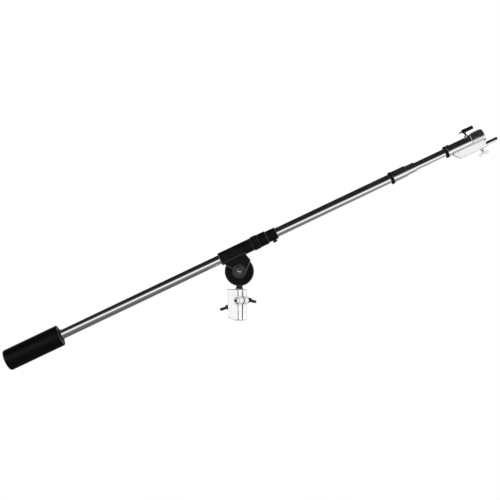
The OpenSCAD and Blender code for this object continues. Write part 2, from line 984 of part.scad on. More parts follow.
module weight_set_screws() {
    color("dimgray")
        on_boom()
            for (turn = [90, 210, 330])
                rotate([turn, 0, 0])
                    translate([weight_front_x + weight_hub_l / 2, 0, 0])
                        bar_z(2 - run_fit, main_r + 2 * run_fit, weight_hub_d / 2 - 0.5);
}

module end_ring() {
    color("#151515")
        on_boom()
            turned_x([[end_x, inner_r + 3], [end_x + 6, end_ring_r], [end_sleeve_x - 4, end_ring_r],
                      [end_sleeve_x, end_sleeve_r + 0.5]], inner_r + run_fit);
}

// Sleeve on the end of the inner tube, bored in front for a spigot
module end_sleeve() {
    color("gainsboro")
        on_boom()
            difference() {
                union() {
                    bar_x(end_sleeve_r, end_sleeve_x, end_front_x);
                    translate([end_screw_x, 0, 0])
                        bar_z(end_screw_d, 0, end_sleeve_r + 6);
                }
                bar_x(inner_r + run_fit / 2, end_sleeve_x - weld, inner_front_x);
                bar_x(end_bore_d / 2, inner_front_x - weld, end_front_x + weld);
                translate([end_screw_x, 0, 0])
                    bar_z(end_screw_d / 2 + run_fit, 0, end_socket_d);
                rivet_holes();
            }
}

// Places of the rivets that hold the end sleeve on the inner tube
module rivet_holes() {
    for (x = [end_sleeve_x + 12, end_sleeve_x + tube_grip - 12])
        translate([x, 0, 0])
            bar_y(rivet_r, -end_socket_d, end_socket_d);
}

// Thicker ring round the mouth of the end sleeve, with a flat pad on top
module end_socket() {
    pad_l = end_socket_l - 16;
    pad_w = 20;
    color("silver")
        on_boom()
            difference() {
                union() {
                    turned_x([[end_socket_x, end_socket_d / 2 - 1], [end_socket_x + 1, end_socket_d / 2],
                              [end_front_x - 1, end_socket_d / 2], [end_front_x, end_socket_d / 2 - 1]], 0);
                    translate([end_socket_x + 9, -pad_w / 2, 0])
                        cube([pad_l, pad_w, end_socket_d / 2 + 2]);
                }
                bar_x(end_sleeve_r + run_fit / 2, end_socket_x - weld, end_front_x + weld);
                pin_block_room();
            }
}

// Space that the pin block takes under the end sleeve
module pin_block_room() {
    translate([pin_block_x, -pin_block_w / 2 - run_fit, -pin_block_low - weld])
        cube([pin_block_end - pin_block_x + run_fit, pin_block_w + 2 * run_fit,
              pin_block_low + weld - pin_block_top + 4]);
}

// Bar welded under the end sleeve, with a sloping rear end and the pin's bore
module pin_block() {
    slope = 18;
    color("silver")
        on_boom()
            difference() {
                union() {
                    translate([0, pin_block_w / 2, 0])
                        rotate([90, 0, 0])
                            linear_extrude(pin_block_w)
                                polygon([[pin_block_x, -pin_block_top + 2], [pin_block_x, -end_sleeve_r - 4],
                                         [pin_block_x + slope, -pin_block_low],
                                         [pin_block_end, -pin_block_low], [pin_block_end, -pin_block_top + 2]]);
                    translate([pin_screw_x, 0, 0])
                        bar_z(end_screw_d / 2 + 2.5, -pin_block_low - pin_boss_l, -pin_axis);
                }
                bar_x(end_sleeve_r + run_fit / 2, 0, end_front_x + weld);
                translate([0, 0, -pin_axis])
                    bar_x(pin_shank_r + run_fit, pin_block_end - pin_in, end_front_x);
                translate([pin_screw_x, 0, 0])
                    bar_z(end_screw_d / 2 + run_fit, -pin_block_low - pin_boss_l - weld, -pin_axis);
            }
}

module end_rivets() {
    color("silver")
        on_boom()
            for (x = [end_sleeve_x + 12, end_sleeve_x + tube_grip - 12], side = [0, 1])
                translate([x, 0, 0])
                    mirror([0, side, 0])
                        bar_y(rivet_r - run_fit, inner_r + run_fit, end_sleeve_r + 1);
}

module socket_lock_screw() {
    color("dimgray")
        on_boom()
            translate([end_screw_x, 0, 0])
                bar_z(end_screw_d / 2, end_bore_d / 2 + side_gap, end_socket_d / 2 + 20);
}

// Lever handle with a thick grip to one side and a slim tail to the other
module socket_lock_handle() {
    hub_z = end_socket_d / 2 + 12;
    hub_h = 15;
    grip = 36;
    tail = 20;
    color("#1a1a1a")
        on_boom()
            translate([end_screw_x, 0, hub_z])
                difference() {
                    union() {
                        cylinder(d = wing_hub_d, h = hub_h);
                        translate([0, 0, hub_h / 2]) {
                            bar_x(wing_hub_d * 0.42, 0, grip);
                            bar_x(2.5, -tail, 0);
                        }
                    }
                    bar_z(end_screw_d / 2 + run_fit, -weld, hub_h - 3);
                }
}

module pin_lock_screw() {
    color("silver")
        on_boom()
            translate([pin_screw_x, 0, 0])
                bar_z(end_screw_d / 2, pin_wing_z - 5, -pin_axis - pin_shank_r - side_gap);
}

module pin_lock_wing() {
    color("silver")
        on_boom()
            translate([pin_screw_x, 0, pin_wing_z])
                rotate([180, 0, 0])
                    scale(0.62)
                        wing_handle(end_screw_d / 0.62, wing_reach, wing_reach, 20);
}

// Baby pin with a shank in the block, a shoulder and a bevelled end
module baby_pin() {
    tip_x = pin_block_end + pin_out;
    edge = 1.5;
    color("gainsboro")
        on_boom()
            translate([0, 0, -pin_axis])
                turned_x([[pin_block_end - pin_in + side_gap, pin_shank_r],
                          [pin_block_end + face_gap, pin_shank_r],
                          [pin_block_end + face_gap, pin_d / 2], [tip_x - edge, pin_d / 2],
                          [tip_x, pin_d / 2 - edge]], 0);
}

receiver_block();
clamp_nut();
clamp_screw();
clamp_wing();
clamp_wing_washer();
stand_lock_screw();
stand_lock_wing();
stand_lock_pad();
pivot_base();
foot_washer();
keeper_washer();
keeper_screw();
friction_lining();
boom_sleeve();
pivot_stud();
stud_washer();
stud_nut();
back_washer();
disc_spring();
tilt_handle_hub();
tilt_handle_bar();
tilt_bar_knobs();
sleeve_liners();
grip_ring();
lock_nut();
sleeve_collet();
nose();
thumb_screw();
thumb_knob();
main_tube();
main_tube_plug();
tube_stop_bush();
telescope_grip();
lock_sleeve();
lock_tail();
lock_collet();
inner_tube();
inner_guide_bush();
weight_core();
weight_coat();
weight_end_plates();
weight_hub();
weight_set_screws();
end_ring();
end_sleeve();
end_socket();
pin_block();
end_rivets();
socket_lock_screw();
socket_lock_handle();
pin_lock_screw();
pin_lock_wing();
baby_pin();
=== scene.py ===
import math

import bmesh
import bpy
from mathutils import Matrix, Vector


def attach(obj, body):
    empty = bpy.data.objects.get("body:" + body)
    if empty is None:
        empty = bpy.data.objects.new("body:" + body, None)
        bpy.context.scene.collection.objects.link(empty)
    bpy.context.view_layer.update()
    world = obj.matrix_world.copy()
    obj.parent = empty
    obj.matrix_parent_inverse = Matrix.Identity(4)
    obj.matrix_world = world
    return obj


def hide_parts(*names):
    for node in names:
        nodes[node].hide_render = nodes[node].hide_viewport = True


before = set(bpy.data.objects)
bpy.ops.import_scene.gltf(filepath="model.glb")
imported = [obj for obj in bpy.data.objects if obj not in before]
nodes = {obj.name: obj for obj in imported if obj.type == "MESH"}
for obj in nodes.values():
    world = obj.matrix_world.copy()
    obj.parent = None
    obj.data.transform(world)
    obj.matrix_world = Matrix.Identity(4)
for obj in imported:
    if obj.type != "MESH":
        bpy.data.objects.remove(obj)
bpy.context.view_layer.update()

# Stage: the arm hangs over a wide pale floor, as it would on its stand, in soft studio light.
# The camera stands about four metres in front of the middle of the boom and looks level at it.
scene = bpy.context.scene
scene.view_settings.view_transform = "Standard"

camera_data = bpy.data.cameras.new("camera")
camera = bpy.data.objects.new("camera", camera_data)
scene.collection.objects.link(camera)
scene.camera = camera
CAMERA_DISTANCE = 4.16
CAMERA_AIM = Vector((0.0394, 0, 0.2589))
LENS_PIXELS = 1130
PICTURE_PIXELS = 500
SENSOR_WIDTH = 36
camera_data.sensor_width = SENSOR_WIDTH
camera_data.lens = LENS_PIXELS * SENSOR_WIDTH / PICTURE_PIXELS
camera_data.clip_start = 0.05
camera_data.clip_end = 200
camera.location = CAMERA_AIM - Vector((0, CAMERA_DISTANCE, 0))
camera.rotation_euler = (math.radians(90), 0, 0)

FLOOR_Z = -1.15
FLOOR_RADIUS = 40.0
FLOOR_SIDES = 96
FADE_START = 1.4
FADE_END = 2.3
floor_mesh = bpy.data.meshes.new("floor")
shape = bmesh.new()
bmesh.ops.create_circle(shape, cap_ends=True, segments=FLOOR_SIDES, radius=FLOOR_RADIUS)
bmesh.ops.translate(shape, verts=shape.verts, vec=(0, 0, FLOOR_Z))
shape.to_mesh(floor_mesh)
shape.free()
floor = bpy.data.objects.new("floor", floor_mesh)
scene.collection.objects.link(floor)


def new_tree(name):
    """New material and its empty node tree."""
    made = bpy.data.materials.new(name)
    made.use_nodes = True
    made.node_tree.nodes.clear()
    return made, made.node_tree


def add_node(tree, kind, values=None, **settings):
    """New node with its settings, input values and links, given by input name or number."""
    node = tree.nodes.new(kind)
    for key, value in settings.items():
        setattr(node, key, value)
    for key, value in (values or {}).items():
        socket = node.inputs[key]
        if isinstance(value, bpy.types.NodeSocket):
            tree.links.new(value, socket)
        else:
            socket.default_value = value
    return node


def ramp_stops(node, stops):
    """Sets a colour ramp from (place, brightness) pairs."""
    ramp = node.color_ramp
    while len(ramp.elements) > len(stops):
        ramp.elements.remove(ramp.elements[-1])
    while len(ramp.elements) < len(stops):
        ramp.elements.new(0.5)
    for element, (place, level) in zip(ramp.elements, stops):
        element.position = place
        colour = level if isinstance(level, tuple) else (level, level, level)
        element.color = (*colour, 1)
    return node


# The floor is matt and nearly white. It fades to the backdrop's white a few metres away, and
# polished metal sees the studio's bands of light where the floor would be.
floor_material, tree = new_tree("pale_floor")
place = add_node(tree, "ShaderNodeTexCoord").outputs["Object"]
flat = add_node(tree, "ShaderNodeVectorMath", {0: place, 1: (1, 1, 0)}, operation="MULTIPLY")
away = add_node(tree, "ShaderNodeVectorMath", {0: flat.outputs[0]}, operation="LENGTH")
fade = add_node(tree, "ShaderNodeMapRange",
                {"Value": away.outputs["Value"], "From Min": FADE_START, "From Max": FADE_END},
                interpolation_type="SMOOTHSTEP")
light_path = add_node(tree, "ShaderNodeLightPath").outputs
matt = add_node(tree, "ShaderNodeBsdfDiffuse", {"Color": (0.86, 0.86, 0.86, 1)})
white = add_node(tree, "ShaderNodeEmission", {"Color": (1, 1, 1, 1)})
clear = add_node(tree, "ShaderNodeBsdfTransparent")
glow = add_node(tree, "ShaderNodeMath", {0: fade.outputs[0], 1: light_path["Is Camera Ray"]},
                operation="MULTIPLY")
near = add_node(tree, "ShaderNodeMixShader", {0: glow.outputs[0], 1: matt.outputs[0],
                                              2: white.outputs[0]})
seen = add_node(tree, "ShaderNodeMixShader", {0: light_path["Is Glossy Ray"], 1: near.outputs[0],
                                              2: clear.outputs[0]})
add_node(tree, "ShaderNodeOutputMaterial", {"Surface": seen.outputs[0]})
floor_mesh.materials.append(floor_material)

# The studio: white to the camera, an even light on matt surfaces, and bands of light to polished
# metal. The bands are pairs of height and brightness, from straight down to straight up. They are
# level at both sides of the room and slant down to the right in between.
BAND_SLANT = 0.42
LEFT_SIDE = (-0.6, -0.45)
RIGHT_SIDE = (0.62, 0.75)
EVEN_STRENGTH = 0.85
METAL_STRENGTH = 1.3
world = bpy.data.worlds.new("studio")
scene.world = world
world.use_nodes = True
tree = world.node_tree
tree.nodes.clear()
light_path = add_node(tree, "ShaderNodeLightPath").outputs
side = add_node(tree, "ShaderNodeTexCoord").outputs["Generated"]
split = add_node(tree, "ShaderNodeSeparateXYZ", {0: side}).outputs
height = add_node(tree, "ShaderNodeMapRange", {"Value": split["Z"], "From Min": -1,
                                               "From Max": 1}).outputs[0]
slope = add_node(tree, "ShaderNodeMath", {0: split["X"], 1: BAND_SLANT, 2: height},
                 operation="MULTIPLY_ADD")
LEFT_BANDS = ((0.0, 0.2), (0.13, 0.1), (0.3, 0.09), (0.4, 0.45), (0.49, 0.9), (0.6, 1.0),
              (0.69, 0.6), (0.78, 0.05), (0.84, 0.012), (1.0, 0.02))
SLANTED_BANDS = ((0.0, 0.1), (0.2, 0.11), (0.27, 0.16), (0.34, 0.26), (0.38, 0.65), (0.42, 1.0),
                 (0.48, 0.95), (0.525, 0.3), (0.56, 0.2), (0.6, 0.05), (0.66, 0.012), (1.0, 0.02))
RIGHT_BANDS = ((0.0, 0.3), (0.2, 0.25), (0.34, 0.4), (0.42, 1.0), (0.6, 1.0), (0.68, 0.5),
               (0.76, 0.04), (1.0, 0.02))
left = ramp_stops(add_node(tree, "ShaderNodeValToRGB", {0: height}), LEFT_BANDS)
slanted = ramp_stops(add_node(tree, "ShaderNodeValToRGB", {0: slope.outputs[0]}), SLANTED_BANDS)
right = ramp_stops(add_node(tree, "ShaderNodeValToRGB", {0: height}), RIGHT_BANDS)
from_left, to_right = (
    add_node(tree, "ShaderNodeMapRange", {"Value": split["X"], "From Min": start,
                                          "From Max": end}).outputs[0]
    for start, end in (LEFT_SIDE, RIGHT_SIDE))
leftward = add_node(tree, "ShaderNodeMix", {"Factor": from_left, 6: left.outputs[0],
                                            7: slanted.outputs[0]}, data_type="RGBA")
bands = add_node(tree, "ShaderNodeMix", {"Factor": to_right, 6: leftward.outputs[2],
                                         7: right.outputs[0]}, data_type="RGBA")
even = add_node(tree, "ShaderNodeBackground", {"Color": (0.97, 0.985, 1, 1),
                                               "Strength": EVEN_STRENGTH})
metal = add_node(tree, "ShaderNodeBackground", {"Color": bands.outputs[2],
                                                "Strength": METAL_STRENGTH})
seen = add_node(tree, "ShaderNodeBackground", {"Color": (1, 1, 1, 1), "Strength": 1})
glossy = add_node(tree, "ShaderNodeMath", {0: light_path["Is Glossy Ray"],
                                           1: light_path["Is Transmission Ray"]},
                  operation="MAXIMUM")
first = add_node(tree, "ShaderNodeMixShader", {0: glossy.outputs[0], 1: even.outputs[0],
                                               2: metal.outputs[0]})
second = add_node(tree, "ShaderNodeMixShader", {0: light_path["Is Camera Ray"],
                                                1: first.outputs[0], 2: seen.outputs[0]})
add_node(tree, "ShaderNodeOutputWorld", {"Surface": second.outputs[0]})

# Three soft boxes, seen by no mirror: a strong one high on the left, and two weaker ones on the
# right and behind. All of them point at the middle of the boom.
LAMP_AIM = Vector((0, 0, 0.25))
for name, spot, size, power in (("key_box", (-2.2, -3.2, 2.6), 1.8, 70),
                                ("fill_box", (3.0, -2.6, 1.6), 1.6, 30),
                                ("back_box", (0.5, 3.2, 2.8), 1.8, 30)):
    lamp = bpy.data.lights.new(name, "AREA")
    lamp.shape = "DISK"
    lamp.size = size
    lamp.energy = power
    box = bpy.data.objects.new(name, lamp)
    box.location = spot
    box.rotation_euler = (LAMP_AIM - Vector(spot)).to_track_quat("-Z", "Y").to_euler()
    box.visible_glossy = False
    scene.collection.objects.link(box)

# Receiver block: a bright sand casting that sits on the stand's pin, with a slit on one side.
# It is cast, shot blasted and lightly tumbled, so its corners are soft and its skin is grainy.
TILT = math.radians(25.4)
PIVOT_HEIGHT = 0.1801
TUBE_RISE = 0.07
BLOCK_TURN = math.radians(50)
boom_frame = (Matrix.Translation((0, 0, PIVOT_HEIGHT)) @ Matrix.Rotation(-TILT, 4, "Y")
              @ Matrix.Translation((0, 0, TUBE_RISE)))
pivot_frame = Matrix.Translation((0, 0, PIVOT_HEIGHT)) @ Matrix.Rotation(-TILT, 4, "Y")
block_frame = Matrix.Rotation(-BLOCK_TURN, 4, "Z")


def new_group(name, inputs, outputs):
    """Shader node group with named inputs and outputs."""
    group = bpy.data.node_groups.new(name, "ShaderNodeTree")
    for title, kind, value in inputs:
        socket = group.interface.new_socket(title, in_out="INPUT", socket_type=kind)
        if value is not None:
            socket.default_value = value
    for title, kind in outputs:
        group.interface.new_socket(title, in_out="OUTPUT", socket_type=kind)
    return group, group.nodes.new("NodeGroupInput").outputs


def place_group(tree, group, values):
    """Puts a shader node group into a material with its values."""
    return add_node(tree, "ShaderNodeGroup", values, node_tree=group).outputs


# Worn edges: how far the surface turns within a small radius, broken up by a coarse noise.
worn_edges, given = new_group(
    "worn_edges",
    (("Place", "NodeSocketVector", None), ("Radius", "NodeSocketFloat", 0.001),
     ("Amount", "NodeSocketFloat", 0.5), ("Break up", "NodeSocketFloat", 60.0)),
    (("Mask", "NodeSocketFloat"),))
rounded = add_node(worn_edges, "ShaderNodeBevel", {"Radius": given["Radius"]}, samples=6)
true_face = add_node(worn_edges, "ShaderNodeNewGeometry").outputs["Normal"]
turn = add_node(worn_edges, "ShaderNodeVectorMath", {0: rounded.outputs[0], 1: true_face},
                operation="DOT_PRODUCT")
edge = add_node(worn_edges, "ShaderNodeMapRange", {"Value": turn.outputs["Value"],
                                                   "From Min": 0.995, "From Max": 0.86})
chips = add_node(worn_edges, "ShaderNodeTexNoise", {"Vector": given["Place"], "Detail": 4.0,
                                                    "Scale": given["Break up"]})
chosen = add_node(worn_edges, "ShaderNodeMapRange", {"Value": chips.outputs[0], "From Min": 0.38,
                                                     "From Max": 0.66})
both = add_node(worn_edges, "ShaderNodeMath", {0: edge.outputs[0], 1: chosen.outputs[0]},
                operation="MULTIPLY")
scaled = add_node(worn_edges, "ShaderNodeMath", {0: both.outputs[0], 1: given["Amount"]},
                  operation="MULTIPLY", use_clamp=True)
add_node(worn_edges, "NodeGroupOutput", {"Mask": scaled.outputs[0]})

# Edge mask of dense castings, where light or shade is painted: where the surface bends by more
# than Start, outwards or inwards, fully from Bend on, and broken up by noise.
painted_edge_lines, given = new_group(
    "painted_edge_lines",
    (("Place", "NodeSocketVector", None), ("Start", "NodeSocketFloat", 0.004),
     ("Bend", "NodeSocketFloat", 0.03), ("Amount", "NodeSocketFloat", 0.5),
     ("Break up", "NodeSocketFloat", 40.0)),
    (("Mask", "NodeSocketFloat"),))
bend = add_node(painted_edge_lines, "ShaderNodeNewGeometry").outputs["Pointiness"]
off = add_node(painted_edge_lines, "ShaderNodeMath", {0: bend, 1: 0.5}, operation="SUBTRACT")
size = add_node(painted_edge_lines, "ShaderNodeMath", {0: off.outputs[0]}, operation="ABSOLUTE")
line = add_node(painted_edge_lines, "ShaderNodeMapRange", {"Value": size.outputs[0],
                                                   "From Min": given["Start"],
                                                   "From Max": given["Bend"]})
gaps = add_node(painted_edge_lines, "ShaderNodeTexNoise", {"Vector": given["Place"], "Detail": 3.0,
                                                   "Scale": given["Break up"]})
kept = add_node(painted_edge_lines, "ShaderNodeMapRange", {"Value": gaps.outputs[0], "From Min": 0.2,
                                                   "From Max": 0.45})
both = add_node(painted_edge_lines, "ShaderNodeMath", {0: line.outputs[0], 1: kept.outputs[0]},
                operation="MULTIPLY")
scaled = add_node(painted_edge_lines, "ShaderNodeMath", {0: both.outputs[0], 1: given["Amount"]},
                  operation="MULTIPLY", use_clamp=True)
add_node(painted_edge_lines, "NodeGroupOutput", {"Mask": scaled.outputs[0]})

# Cast skin: fine sand grain over shallow lumps, as one height.
cast_skin, given = new_group(
    "cast_skin",
    (("Place", "NodeSocketVector", None), ("Grain", "NodeSocketFloat", 900.0),
     ("Lumps", "NodeSocketFloat", 60.0), ("Lump share", "NodeSocketFloat", 0.5)),
    (("Height", "NodeSocketFloat"), ("Patches", "NodeSocketFloat")))
grain = add_node(cast_skin, "ShaderNodeTexNoise", {"Vector": given["Place"], "Detail": 5.0,
                                                   "Scale": given["Grain"], "Roughness": 0.6})
lumps = add_node(cast_skin, "ShaderNodeTexNoise", {"Vector": given["Place"], "Detail": 3.0,
                                                   "Scale": given["Lumps"]})
mixed = add_node(cast_skin, "ShaderNodeMix", {"Factor": given["Lump share"],
                                              2: grain.outputs[0], 3: lumps.outputs[0]})
add_node(cast_skin, "NodeGroupOutput", {"Height": mixed.outputs[0], "Patches": lumps.outputs[0]})

# Handling marks: soft smears that change how a surface shines.
smears, given = new_group(
    "smears",
    (("Place", "NodeSocketVector", None), ("Size", "NodeSocketFloat", 30.0),
     ("Clean", "NodeSocketFloat", 0.2), ("Smeared", "NodeSocketFloat", 0.35)),
    (("Roughness", "NodeSocketFloat"), ("Marks", "NodeSocketFloat")))
cloud = add_node(smears, "ShaderNodeTexNoise", {"Vector": given["Place"], "Detail": 6.0,
                                                "Scale": given["Size"], "Distortion": 0.8})
marks = add_node(smears, "ShaderNodeMapRange", {"Value": cloud.outputs[0], "From Min": 0.35,
                                                "From Max": 0.7})
level = add_node(smears, "ShaderNodeMapRange", {"Value": marks.outputs[0],
                                                "To Min": given["Clean"],
                                                "To Max": given["Smeared"]})
add_node(smears, "NodeGroupOutput", {"Roughness": level.outputs[0], "Marks": marks.outputs[0]})


def object_place(tree, turn=0.0):
    """Object coordinates, turned into the boom's direction where asked."""
    place = add_node(tree, "ShaderNodeTexCoord").outputs["Object"]
    if not turn:
        return place
    return add_node(tree, "ShaderNodeMapping", {"Vector": place,
                                                "Rotation": (0, turn, 0)}).outputs[0]


def mix_colour(tree, factor, first, second):
    """Blend of two colours by a mask."""
    values = {"Factor": factor}
    for key, colour in ((6, first), (7, second)):
        values[key] = colour if isinstance(colour, bpy.types.NodeSocket) else (*colour, 1)
    return add_node(tree, "ShaderNodeMix", values, data_type="RGBA").outputs[2]


def bump(tree, height, strength, distance):
    """Bump from a height, in metres."""
    return add_node(tree, "ShaderNodeBump", {"Height": height, "Strength": strength,
                                             "Distance": distance}).outputs[0]


def finish_material(tree, values):
    """Principled shader on the material's output."""
    shader = add_node(tree, "ShaderNodeBsdfPrincipled", values)
    add_node(tree, "ShaderNodeOutputMaterial", {"Surface": shader.outputs[0]})


cast_silver, tree = new_tree("cast_silver")
place = object_place(tree)
skin = place_group(tree, cast_skin, {"Place": place, "Grain": 1100.0, "Lumps": 45.0,
                                     "Lump share": 0.35})
wear_and_edge_light = place_group(tree, painted_edge_lines, {"Place": place, "Start": 0.005, "Bend": 0.018,
                                      "Amount": 1.0, "Break up": 30.0})
shine = place_group(tree, smears, {"Place": place, "Size": 22.0, "Clean": 0.34,
                                   "Smeared": 0.5})
body = mix_colour(tree, skin["Patches"], (0.88, 0.88, 0.885), (0.98, 0.98, 0.98))
# Painted shade and painted reflection: dark lines along the casting's edges stand in for the dark
# reflections on its rounded corners and the shade, with a little grime, in its inner corners.
colour = mix_colour(tree, wear_and_edge_light["Mask"], body, (0.17, 0.17, 0.18))
finish_material(tree, {"Base Color": colour, "Metallic": 0.3, "Roughness": shine["Roughness"],
                       "Normal": bump(tree, skin["Height"], 0.12, 0.0003)})


def plain_mesh(source, name):
    """Mesh object made of what a modifier stack or a node tree gives."""
    graph = bpy.context.evaluated_depsgraph_get()
    mesh = bpy.data.meshes.new_from_object(source.evaluated_get(graph), depsgraph=graph)
    mesh.name = name
    return bpy.data.objects.new(name, mesh)


SAME_POINT = 1e-6


def cast_copy(node, name, frame_of_piece, voxel, passes, material):
    """Casting with soft corners: the CAD node's solid, remeshed along its own axes and eased."""
    shape = bmesh.new()
    shape.from_mesh(nodes[node].data)
    shape.transform(frame_of_piece.inverted())
    bmesh.ops.remove_doubles(shape, verts=shape.verts, dist=SAME_POINT)
    mesh = bpy.data.meshes.new(name + "_rough")
    shape.to_mesh(mesh)
    shape.free()
    rough = bpy.data.objects.new(name + "_rough", mesh)
    scene.collection.objects.link(rough)
    remesh = rough.modifiers.new("remesh", "REMESH")
    remesh.mode = "VOXEL"
    remesh.voxel_size = voxel
    remesh.use_smooth_shade = True
    ease = rough.modifiers.new("ease", "SMOOTH")
    ease.factor = 0.5
    ease.iterations = passes
    piece = plain_mesh(rough, name)
    bpy.data.objects.remove(rough)
    piece.data.transform(frame_of_piece)
    piece.data.materials.clear()
    piece.data.materials.append(material)
    piece.data.shade_smooth()
    scene.collection.objects.link(piece)
    return piece


def dress(piece, body, slot, *replaced):
    """Ties a finished piece to its body and hides the CAD nodes that it stands for; the name of
    its finish is not used.
    """
    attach(piece, body)
    if replaced:
        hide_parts(*replaced)


dress(cast_copy("receiver_block", "receiver_casting", block_frame, voxel=0.0009, passes=3,
                material=cast_silver),
      "receiver", "cast_silver", "receiver_block")


def paint(material, *names):
    """Gives a material to CAD nodes that are shown as they are."""
    for name in names:
        nodes[name].data.materials.clear()
        nodes[name].data.materials.append(material)


# Clamp and stand lock: two threaded screws with a chamfered nut, a washer and cast wing handles.
# The screws are black oxide steel with real threads, and the wings are powder coated.
dark_steel, tree = new_tree("dark_steel")
place = object_place(tree)
wear_and_edge_light = place_group(tree, worn_edges, {"Place": place, "Radius": 0.0005, "Amount": 0.8,
                                      "Break up": 220.0})
shine = place_group(tree, smears, {"Place": place, "Size": 80.0, "Clean": 0.28,
                                   "Smeared": 0.46})
film = mix_colour(tree, shine["Marks"], (0.1, 0.1, 0.105), (0.15, 0.145, 0.14))
colour = mix_colour(tree, wear_and_edge_light["Mask"], film, (0.42, 0.42, 0.43))
finish_material(tree, {"Base Color": colour, "Metallic": 1.0, "Roughness": shine["Roughness"]})

black_cast, tree = new_tree("black_cast")
place = object_place(tree)
skin = place_group(tree, cast_skin, {"Place": place, "Grain": 1500.0, "Lumps": 220.0,
                                     "Lump share": 0.4})
wear_and_edge_light = place_group(tree, painted_edge_lines, {"Place": place, "Bend": 0.05, "Amount": 0.65,
                                      "Break up": 60.0})
shine = place_group(tree, smears, {"Place": place, "Size": 26.0, "Clean": 0.3,
                                   "Smeared": 0.46})
coat = mix_colour(tree, shine["Marks"], (0.0025, 0.0025, 0.003), (0.006, 0.006, 0.0065))
# Painted highlight: light lines along the casting's edges, outer and inner, stand in for the light
# caught by its bevels.
colour = mix_colour(tree, wear_and_edge_light["Mask"], coat, (0.22, 0.22, 0.22))
finish_material(tree, {"Base Color": colour, "Roughness": shine["Roughness"],
                       "Specular IOR Level": 0.09,
                       "Normal": bump(tree, skin["Height"], 0.22, 0.0003)})

# Turned metal: fine rings round an axis, read from the distance to it.
turned_rings, given = new_group(
    "turned_rings",
    (("Place", "NodeSocketVector", None), ("Rings", "NodeSocketFloat", 2600.0)),
    (("Height", "NodeSocketFloat"), ("Streaks", "NodeSocketFloat")))
split = add_node(turned_rings, "ShaderNodeSeparateXYZ", {0: given["Place"]}).outputs
flat = add_node(turned_rings, "ShaderNodeCombineXYZ", {"X": split["Y"], "Y": split["Z"]})
radius = add_node(turned_rings, "ShaderNodeVectorMath", {0: flat.outputs[0]}, operation="LENGTH")
sum_of = add_node(turned_rings, "ShaderNodeMath", {0: radius.outputs["Value"], 1: split["X"]},
                  operation="ADD")
scaled = add_node(turned_rings, "ShaderNodeMath", {0: sum_of.outputs[0], 1: given["Rings"]},
                  operation="MULTIPLY")
lines = add_node(turned_rings, "ShaderNodeTexNoise", {"W": scaled.outputs[0], "Scale": 1.0,
                                                      "Detail": 3.0}, noise_dimensions="1D")
coarse = add_node(turned_rings, "ShaderNodeMath", {0: scaled.outputs[0], 1: 0.08},
                  operation="MULTIPLY")
bands = add_node(turned_rings, "ShaderNodeTexNoise", {"W": coarse.outputs[0], "Scale": 1.0},
                 noise_dimensions="1D")
add_node(turned_rings, "NodeGroupOutput", {"Height": lines.outputs[0],
                                           "Streaks": bands.outputs[0]})

# Drawn metal: scratches that run along the boom, as noise stretched along one direction.
drawn_lines, given = new_group(
    "drawn_lines",
    (("Place", "NodeSocketVector", None), ("Fineness", "NodeSocketFloat", 900.0),
     ("Stretch", "NodeSocketFloat", 0.02)),
    (("Height", "NodeSocketFloat"), ("Scratches", "NodeSocketFloat")))
squeeze = add_node(drawn_lines, "ShaderNodeCombineXYZ", {"X": given["Stretch"], "Y": 1.0,
                                                         "Z": 1.0})
long = add_node(drawn_lines, "ShaderNodeVectorMath", {0: given["Place"], 1: squeeze.outputs[0]},
                operation="MULTIPLY")
fine = add_node(drawn_lines, "ShaderNodeTexNoise", {"Vector": long.outputs[0], "Detail": 4.0,
                                                    "Scale": given["Fineness"]})
cut = add_node(drawn_lines, "ShaderNodeMapRange", {"Value": fine.outputs[0], "From Min": 0.6,
                                                   "From Max": 0.72})
add_node(drawn_lines, "NodeGroupOutput", {"Height": fine.outputs[0], "Scratches": cut.outputs[0]})


def turned_steel(name, base, clean, smeared):
    """Turned steel with rings round the boom and its roughness where clean and where smeared."""
    made, tree = new_tree(name)
    place = object_place(tree)
    centred = add_node(tree, "ShaderNodeVectorMath", {0: place, 1: boom_frame.translation},
                       operation="SUBTRACT")
    along = add_node(tree, "ShaderNodeVectorRotate",
                     {"Vector": centred.outputs[0], "Rotation": (0, TILT, 0)},
                     rotation_type="EULER_XYZ")
    rings = place_group(tree, turned_rings, {"Place": along.outputs[0], "Rings": 5200.0})
    wear_and_edge_light = place_group(tree, smears, {"Place": place, "Size": 70.0, "Clean": clean,
                                      "Smeared": smeared})
    darker = tuple(level * 0.84 for level in base)
    colour = mix_colour(tree, rings["Streaks"], base, darker)
    finish_material(tree, {"Base Color": colour, "Metallic": 1.0, "Roughness": wear_and_edge_light["Roughness"],
                           "Normal": bump(tree, rings["Height"], 0.12, 0.00005)})
    return made


bright_steel = turned_steel("bright_steel", (0.78, 0.78, 0.79), clean=0.12, smeared=0.26)
zinc_plate = turned_steel("zinc_plate", (0.5, 0.51, 0.52), clean=0.3, smeared=0.42)
raw_steel = turned_steel("raw_steel", (0.4, 0.4, 0.41), clean=0.35, smeared=0.5)


def shape_tree(name, inputs):
    """Geometry node tree with named inputs and one geometry output."""
    made = bpy.data.node_groups.new(name, "GeometryNodeTree")
    for title, kind, value in inputs:
        socket = made.interface.new_socket(title, in_out="INPUT", socket_type=kind)
        socket.default_value = value
    made.interface.new_socket("Geometry", in_out="OUTPUT", socket_type="NodeSocketGeometry")
    return made, made.nodes.new("NodeGroupInput").outputs


def maths(tree, operation, first, second=0.0):
    """One sum on values or sockets."""
    return add_node(tree, "ShaderNodeMath", {0: first, 1: second}, operation=operation).outputs[0]


FLAT_FACE_WEIGHT = 90


